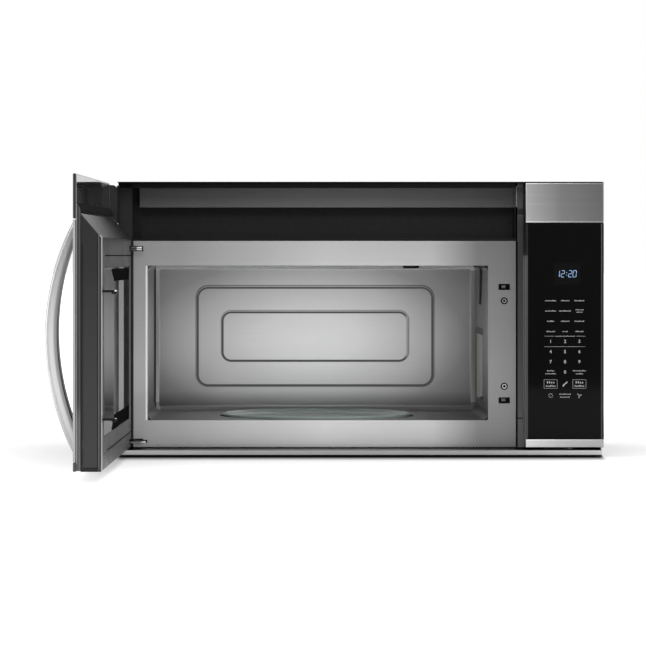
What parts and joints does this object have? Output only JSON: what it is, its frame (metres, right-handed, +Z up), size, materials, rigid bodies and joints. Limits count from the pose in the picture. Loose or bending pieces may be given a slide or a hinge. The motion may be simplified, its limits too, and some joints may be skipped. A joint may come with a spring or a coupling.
{
  "type": "over the range microwave",
  "caption": "Wide microwave oven with a vent, hung above a cooktop: side-hinged door with a bow handle, glass control panel, turntable, blower and grease filters.",
  "frame": {"origin": "middle of the rear face that lies against the wall", "axes": "+X to the right seen from the front, +Y to the rear into the wall, +Z up; the front faces -Y"},
  "size_m": [0.8336, 0.9954, 0.43],
  "materials": {
    "painted_cabinet": "black satin paint",
    "galvanised": "bare zinc coated sheet",
    "stainless": "brushed stainless",
    "cavity_steel": "satin stainless",
    "handle_steel": "satin stainless",
    "black_plastic": "moulded black",
    "gloss_black": "polished black",
    "grey_plastic": "moulded dark grey",
    "black_glass": "black printed glass",
    "dark_window": "smoked inner window",
    "tray_glass": "clear with a green edge",
    "screen_steel": "black perforated",
    "mica": "pale mica sheet",
    "white_plastic": "moulded white",
    "screw_steel": "bright zinc",
    "hinge_steel": "zinc plated",
    "spring_steel": "spring wire",
    "filter_mesh": "expanded aluminium",
    "charcoal": "black foam",
    "lens_glass": "frosted",
    "lamp": "clear bulb",
    "circuit_board": "green laminate",
    "copper": "wound coils and laminations",
    "rubber_part": "soft black"
  },
  "bodies": {
    "oven_body": {"base_front_strip": "stainless", "base_plate": "painted_cabinet", "blower_housing": "galvanised", "blower_motor": "galvanised", "cabinet_wrap": "painted_cabinet", "cavity_back": "cavity_steel", "cavity_floor": "cavity_steel", "cavity_lamp": "galvanised", "cavity_wrap": "cavity_steel", "charcoal_filter": "charcoal", "control_board": "circuit_board", "cooktop_lamp_lens": "lens_glass", "cooktop_lamps": "lamp", "cooling_fan_frame": "black_plastic", "cord_gland": "rubber_part", "front_plate": "cavity_steel", "high_voltage_capacitor": "galvanised", "high_voltage_transformer": "copper", "hinge_lower": "hinge_steel", "hinge_upper": "hinge_steel", "interlock_bracket": "white_plastic", "interlock_switches": "black_plastic", "line_filter_board": "circuit_board", "magnetron": "galvanised", "panel_bottom_strip": "stainless", "panel_frame": "grey_plastic", "panel_glass": "black_glass", "panel_top_block": "stainless", "rear_panel": "galvanised", "screws": "screw_steel", "steam_sensor": "grey_plastic", "turntable_motor": "galvanised", "vent_grille": "grey_plastic", "wall_mounting_plate": "galvanised", "waveguide": "galvanised", "waveguide_cover": "mica"},
    "door": {"door_glass": "black_glass", "door_top_strip": "stainless", "door_bottom_strip": "stainless", "door_front_frame": "gloss_black", "door_inner_frame": "grey_plastic", "door_screen": "screen_steel", "door_inner_window": "dark_window", "door_handle": "handle_steel", "latch_spring": "spring_steel"},
    "latch": {"latch_hooks": "black_plastic"},
    "turntable": {"turntable_coupler": "white_plastic", "turntable_tray": "tray_glass"},
    "roller_ring": {"roller_ring": "white_plastic"},
    "roller_wheel_1": {"roller_wheel_1": "white_plastic"},
    "roller_wheel_2": {"roller_wheel_2": "white_plastic"},
    "roller_wheel_3": {"roller_wheel_3": "white_plastic"},
    "blower_rotor": {"blower_shaft": "screw_steel", "blower_wheel_left": "black_plastic", "blower_wheel_right": "black_plastic"},
    "cooling_fan": {"cooling_fan_blade": "black_plastic"},
    "interlock_plunger_upper": {"interlock_plunger_upper": "white_plastic"},
    "interlock_plunger_lower": {"interlock_plunger_lower": "white_plastic"},
    "grease_filter_left": {"grease_filter_left": "filter_mesh"},
    "grease_filter_right": {"grease_filter_right": "filter_mesh"}
  },
  "joints": [
    {"name": "door_hinge", "type": "hinge", "parent": "oven_body", "child": "door", "pos_m": [-0.369, -0.3708, 0], "axis": [0, 0, 1], "range_deg": [-15, 91.4]},
    {"name": "latch_slide", "type": "slide", "parent": "door", "child": "latch", "axis": [0, 0, 1], "range_m": [0, 0.0033], "stiffness_N_per_m": 200, "springref_m": -0.004, "deforming": ["latch_spring"]},
    {"name": "turntable_spin", "type": "hinge", "parent": "oven_body", "child": "turntable", "pos_m": [-0.066, -0.189, -0.1717], "axis": [0, 0, 1], "continuous": true},
    {"name": "roller_ring_spin", "type": "hinge", "parent": "oven_body", "child": "roller_ring", "pos_m": [-0.066, -0.189, -0.1717], "axis": [0, 0, 1], "continuous": true},
    {"name": "blower_spin", "type": "hinge", "parent": "oven_body", "child": "blower_rotor", "pos_m": [-0.066, -0.082, 0.1495], "axis": [1, 0, 0], "continuous": true},
    {"name": "cooling_fan_spin", "type": "hinge", "parent": "oven_body", "child": "cooling_fan", "pos_m": [0.312, -0.272, -0.065], "axis": [0, 1, 0], "continuous": true},
    {"name": "roller_wheel_1_spin", "type": "hinge", "parent": "roller_ring", "child": "roller_wheel_1", "pos_m": [-0.066, -0.189, -0.1717], "axis": [0, 1, 0], "continuous": true},
    {"name": "roller_wheel_2_spin", "type": "hinge", "parent": "roller_ring", "child": "roller_wheel_2", "pos_m": [-0.066, -0.189, -0.1717], "axis": [-0.866, -0.5, 0], "continuous": true},
    {"name": "roller_wheel_3_spin", "type": "hinge", "parent": "roller_ring", "child": "roller_wheel_3", "pos_m": [-0.066, -0.189, -0.1717], "axis": [0.866, -0.5, 0], "continuous": true},
    {"name": "interlock_upper_press", "type": "slide", "parent": "oven_body", "child": "interlock_plunger_upper", "axis": [0, 1, 0], "range_m": [0, 0.002], "stiffness_N_per_m": 60, "springref_m": -0.002},
    {"name": "interlock_lower_press", "type": "slide", "parent": "oven_body", "child": "interlock_plunger_lower", "axis": [0, 1, 0], "range_m": [0, 0.002], "stiffness_N_per_m": 60, "springref_m": -0.002},
    {"name": "grease_filter_left_slide", "type": "slide", "parent": "oven_body", "child": "grease_filter_left", "axis": [0, 1, 0], "range_m": [0, 0.01]},
    {"name": "grease_filter_right_slide", "type": "slide", "parent": "oven_body", "child": "grease_filter_right", "axis": [0, 1, 0], "range_m": [0, 0.01]}
  ],
  "couplings": [
    {"joint": "roller_ring_spin", "follows": "turntable_spin", "ratio": 0.5},
    {"joint": "roller_wheel_1_spin", "follows": "turntable_spin", "ratio": -8.75},
    {"joint": "roller_wheel_2_spin", "follows": "turntable_spin", "ratio": -8.75},
    {"joint": "roller_wheel_3_spin", "follows": "turntable_spin", "ratio": -8.75}
  ]
}
